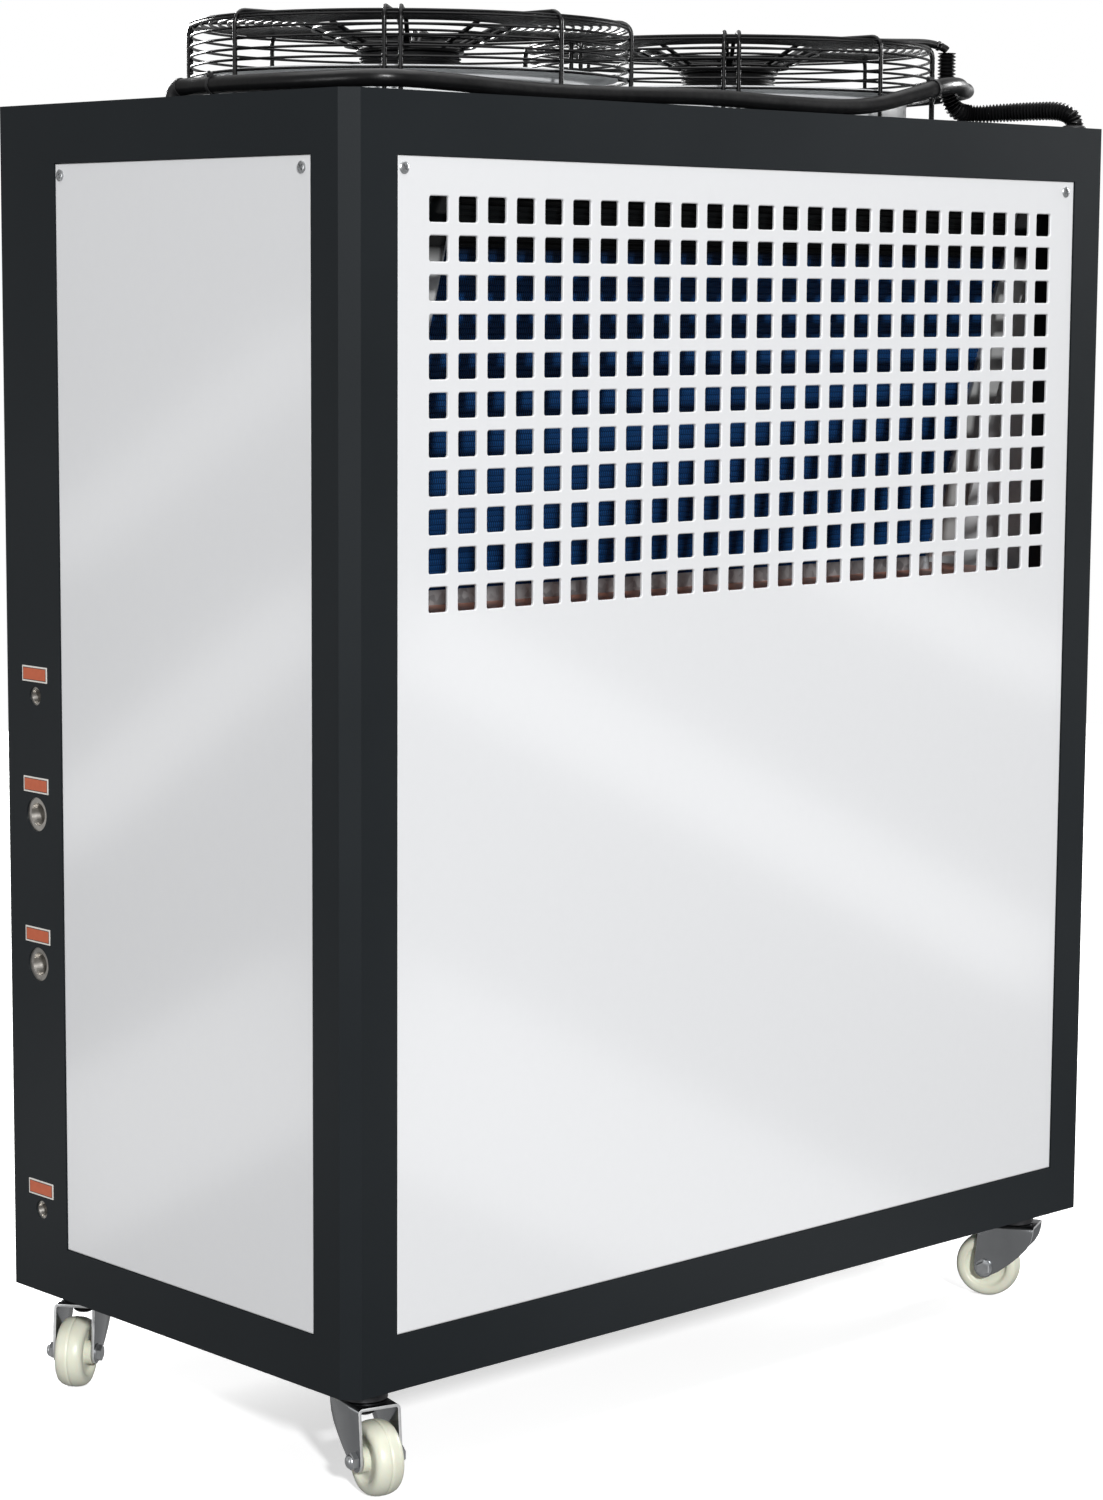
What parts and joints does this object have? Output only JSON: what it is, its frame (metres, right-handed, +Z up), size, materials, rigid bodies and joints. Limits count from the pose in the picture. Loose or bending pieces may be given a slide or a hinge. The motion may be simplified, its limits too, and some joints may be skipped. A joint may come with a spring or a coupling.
{
  "type": "air cooled water chiller",
  "caption": "Upright air cooled water chiller: charcoal frame, white panels with a square-hole air grille, caged axial fans on top, water ports on one end, swivel casters below",
  "frame": {"origin": "centre of the bounding box on the ground", "axes": "+X along the long side away from the water ports, +Y from the grille front to the rear, +Z up"},
  "size_m": [1.121, 0.6014, 1.4617],
  "materials": {
    "charcoal_paint": "satin charcoal powder coat",
    "white_paint": "glossy off-white paint",
    "port_metal": "bare metal pipe thread",
    "label_plate": "bare plate, white rim and orange-red middle",
    "grey_paint": "bright grey sheet",
    "black_paint": "gloss black paint",
    "blue_fins": "blue coated fins",
    "galvanised_sheet": "galvanised sheet",
    "cable_sheath": "smooth black sheath",
    "black_plastic": "black plastic",
    "ivory_nylon": "ivory nylon",
    "zinc_plate": "bright zinc plate"
  },
  "bodies": {
    "cabinet": {"base_tray": "charcoal_paint", "corner_post_front_left": "charcoal_paint", "corner_post_front_right": "charcoal_paint", "corner_post_rear_left": "charcoal_paint", "corner_post_rear_right": "charcoal_paint", "top_rail_front": "charcoal_paint", "top_rail_rear": "charcoal_paint", "top_rail_left": "charcoal_paint", "top_rail_right": "charcoal_paint", "top_deck": "charcoal_paint", "front_panel": "white_paint", "rear_panel": "white_paint", "left_end_panel": "white_paint", "right_end_panel": "white_paint", "fill_port": "port_metal", "water_inlet_port": "port_metal", "water_outlet_port": "port_metal", "drain_port": "port_metal", "port_label_plates": "label_plate", "fan_mouth_left": "grey_paint", "fan_mouth_right": "grey_paint", "fan_guard_left": "black_paint", "fan_guard_right": "black_paint", "fan_motor_left": "black_paint", "fan_motor_right": "black_paint", "coil_front": "blue_fins", "coil_rear": "blue_fins", "coil_casing_front": "galvanised_sheet", "coil_casing_rear": "galvanised_sheet", "coil_closing_plates": "galvanised_sheet", "coil_drip_pan": "galvanised_sheet", "fan_cable_hose": "cable_sheath", "corrugated_conduit": "black_plastic", "motor_cable": "cable_sheath", "cable_glands": "black_plastic", "caster_top_plates": "zinc_plate"},
    "fan_left": {"fan_rotor_left": "black_paint"},
    "fan_right": {"fan_rotor_right": "black_paint"},
    "swivel_front_left": {"caster_fork_front_left": "zinc_plate", "caster_axle_front_left": "zinc_plate"},
    "wheel_front_left": {"caster_wheel_front_left": "ivory_nylon"},
    "swivel_front_right": {"caster_fork_front_right": "zinc_plate", "caster_axle_front_right": "zinc_plate"},
    "wheel_front_right": {"caster_wheel_front_right": "ivory_nylon"},
    "swivel_rear_left": {"caster_fork_rear_left": "zinc_plate", "caster_axle_rear_left": "zinc_plate"},
    "wheel_rear_left": {"caster_wheel_rear_left": "ivory_nylon"},
    "swivel_rear_right": {"caster_fork_rear_right": "zinc_plate", "caster_axle_rear_right": "zinc_plate"},
    "wheel_rear_right": {"caster_wheel_rear_right": "ivory_nylon"}
  },
  "joints": [
    {"name": "fan_left_spin", "type": "hinge", "parent": "cabinet", "child": "fan_left", "pos_m": [-0.2365, 0, 1.344], "axis": [0, 0, 1], "continuous": true},
    {"name": "fan_right_spin", "type": "hinge", "parent": "cabinet", "child": "fan_right", "pos_m": [0.2365, 0, 1.344], "axis": [0, 0, 1], "continuous": true},
    {"name": "swivel_front_left_turn", "type": "hinge", "parent": "cabinet", "child": "swivel_front_left", "pos_m": [-0.498, -0.236, 0.098], "axis": [0, 0, 1], "continuous": true},
    {"name": "wheel_front_left_roll", "type": "hinge", "parent": "swivel_front_left", "child": "wheel_front_left", "pos_m": [-0.50477, -0.26317, 0.0375], "axis": [0.9703, -0.2419, 0], "continuous": true},
    {"name": "swivel_front_right_turn", "type": "hinge", "parent": "cabinet", "child": "swivel_front_right", "pos_m": [0.498, -0.236, 0.098], "axis": [0, 0, 1], "continuous": true},
    {"name": "wheel_front_right_roll", "type": "hinge", "parent": "swivel_front_right", "child": "wheel_front_right", "pos_m": [0.48573, -0.21083, 0.0375], "axis": [-0.8988, -0.4384, 0], "continuous": true},
    {"name": "swivel_rear_left_turn", "type": "hinge", "parent": "cabinet", "child": "swivel_rear_left", "pos_m": [-0.498, 0.236, 0.098], "axis": [0, 0, 1], "continuous": true},
    {"name": "wheel_rear_left_roll", "type": "hinge", "parent": "swivel_rear_left", "child": "wheel_rear_left", "pos_m": [-0.52036, 0.21915, 0.0375], "axis": [0.6018, -0.7986, 0], "continuous": true},
    {"name": "swivel_rear_right_turn", "type": "hinge", "parent": "cabinet", "child": "swivel_rear_right", "pos_m": [0.498, 0.236, 0.098], "axis": [0, 0, 1], "continuous": true},
    {"name": "wheel_rear_right_roll", "type": "hinge", "parent": "swivel_rear_right", "child": "wheel_rear_right", "pos_m": [0.50477, 0.26317, 0.0375], "axis": [-0.9703, 0.2419, 0], "continuous": true}
  ]
}
